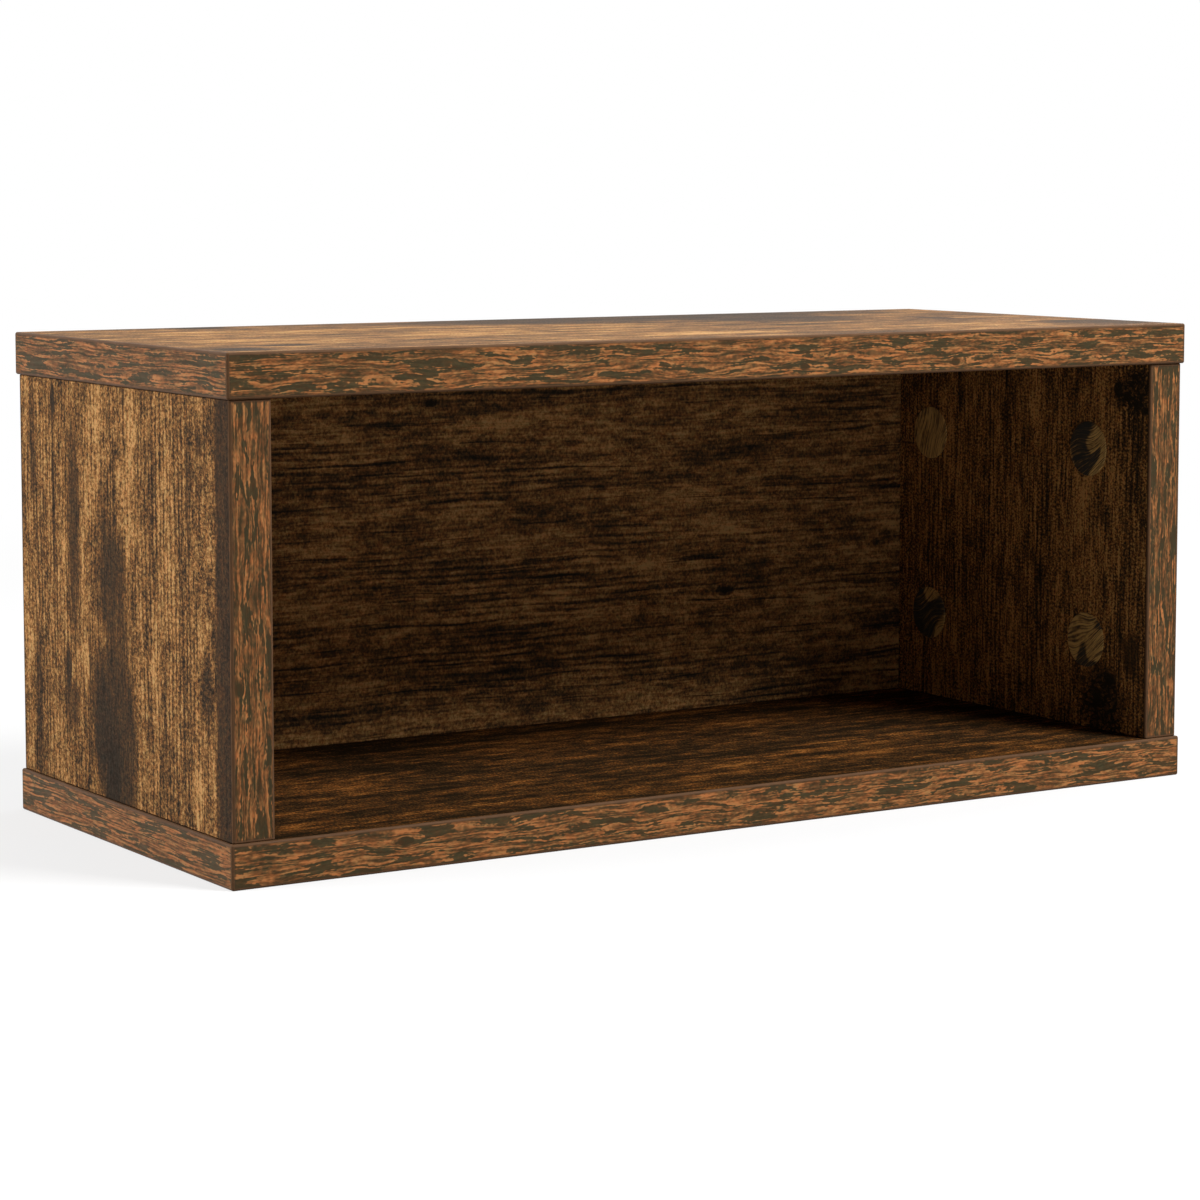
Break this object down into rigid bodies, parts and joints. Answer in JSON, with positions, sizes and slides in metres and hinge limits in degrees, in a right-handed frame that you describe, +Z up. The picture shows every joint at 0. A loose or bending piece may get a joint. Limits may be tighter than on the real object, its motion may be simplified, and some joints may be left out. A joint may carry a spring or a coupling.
{
  "type": "cd rack",
  "caption": "Open-fronted tabletop CD rack: a low box of wood-grain laminated boards with edge bands, joined by hidden cam locks and dowels.",
  "frame": {"origin": "on the floor, under the middle of the base", "axes": "+X along the rack, to the right seen from the open front; the open front faces -Y; +Z up"},
  "size_m": [0.4, 0.17, 0.172],
  "materials": {
    "smoked_oak_laminate": "chipboard core with a satin wood-grain melamine face, brown and tan, fine pores",
    "edge_band": "satin printed edge band, olive brown with orange-brown streaks along the edge",
    "cover_disc": "satin printed adhesive cover, dark brown wood grain",
    "cam_zinc": "dull die-cast zinc",
    "bolt_steel": "zinc-plated steel",
    "dowel_beech": "plain turned beech"
  },
  "bodies": {
    "rack": {"bottom_board": "smoked_oak_laminate", "bottom_front_band": "edge_band", "bottom_back_band": "edge_band", "bottom_left_band": "edge_band", "bottom_right_band": "edge_band", "top_board": "smoked_oak_laminate", "top_front_band": "edge_band", "top_back_band": "edge_band", "top_left_band": "edge_band", "top_right_band": "edge_band", "left_side_board": "smoked_oak_laminate", "left_side_front_band": "edge_band", "left_side_back_band": "edge_band", "right_side_board": "smoked_oak_laminate", "right_side_front_band": "edge_band", "right_side_back_band": "edge_band", "back_board": "smoked_oak_laminate", "cover_left_front_bottom": "cover_disc", "cover_left_front_top": "cover_disc", "cover_left_rear_bottom": "cover_disc", "cover_left_rear_top": "cover_disc", "cover_right_front_bottom": "cover_disc", "cover_right_front_top": "cover_disc", "cover_right_rear_bottom": "cover_disc", "cover_right_rear_top": "cover_disc", "bottom_cam_bolts": "bolt_steel", "top_cam_bolts": "bolt_steel", "left_dowels": "dowel_beech", "right_dowels": "dowel_beech", "back_dowels": "dowel_beech"},
    "cam_left_front_bottom": {"cam_left_front_bottom": "cam_zinc"},
    "cam_left_front_top": {"cam_left_front_top": "cam_zinc"},
    "cam_left_rear_bottom": {"cam_left_rear_bottom": "cam_zinc"},
    "cam_left_rear_top": {"cam_left_rear_top": "cam_zinc"},
    "cam_right_front_bottom": {"cam_right_front_bottom": "cam_zinc"},
    "cam_right_front_top": {"cam_right_front_top": "cam_zinc"},
    "cam_right_rear_bottom": {"cam_right_rear_bottom": "cam_zinc"},
    "cam_right_rear_top": {"cam_right_rear_top": "cam_zinc"}
  },
  "joints": [
    {"name": "turn_left_front_bottom", "type": "hinge", "parent": "rack", "child": "cam_left_front_bottom", "pos_m": [-0.184, -0.049, 0.049], "axis": [1, 0, 0], "range_deg": [0, 180]},
    {"name": "turn_left_front_top", "type": "hinge", "parent": "rack", "child": "cam_left_front_top", "pos_m": [-0.184, -0.049, 0.123], "axis": [1, 0, 0], "range_deg": [0, 180]},
    {"name": "turn_left_rear_bottom", "type": "hinge", "parent": "rack", "child": "cam_left_rear_bottom", "pos_m": [-0.184, 0.049, 0.049], "axis": [1, 0, 0], "range_deg": [0, 180]},
    {"name": "turn_left_rear_top", "type": "hinge", "parent": "rack", "child": "cam_left_rear_top", "pos_m": [-0.184, 0.049, 0.123], "axis": [1, 0, 0], "range_deg": [0, 180]},
    {"name": "turn_right_front_bottom", "type": "hinge", "parent": "rack", "child": "cam_right_front_bottom", "pos_m": [0.184, -0.049, 0.049], "axis": [-1, 0, 0], "range_deg": [0, 180]},
    {"name": "turn_right_front_top", "type": "hinge", "parent": "rack", "child": "cam_right_front_top", "pos_m": [0.184, -0.049, 0.123], "axis": [-1, 0, 0], "range_deg": [0, 180]},
    {"name": "turn_right_rear_bottom", "type": "hinge", "parent": "rack", "child": "cam_right_rear_bottom", "pos_m": [0.184, 0.049, 0.049], "axis": [-1, 0, 0], "range_deg": [0, 180]},
    {"name": "turn_right_rear_top", "type": "hinge", "parent": "rack", "child": "cam_right_rear_top", "pos_m": [0.184, 0.049, 0.123], "axis": [-1, 0, 0], "range_deg": [0, 180]}
  ]
}
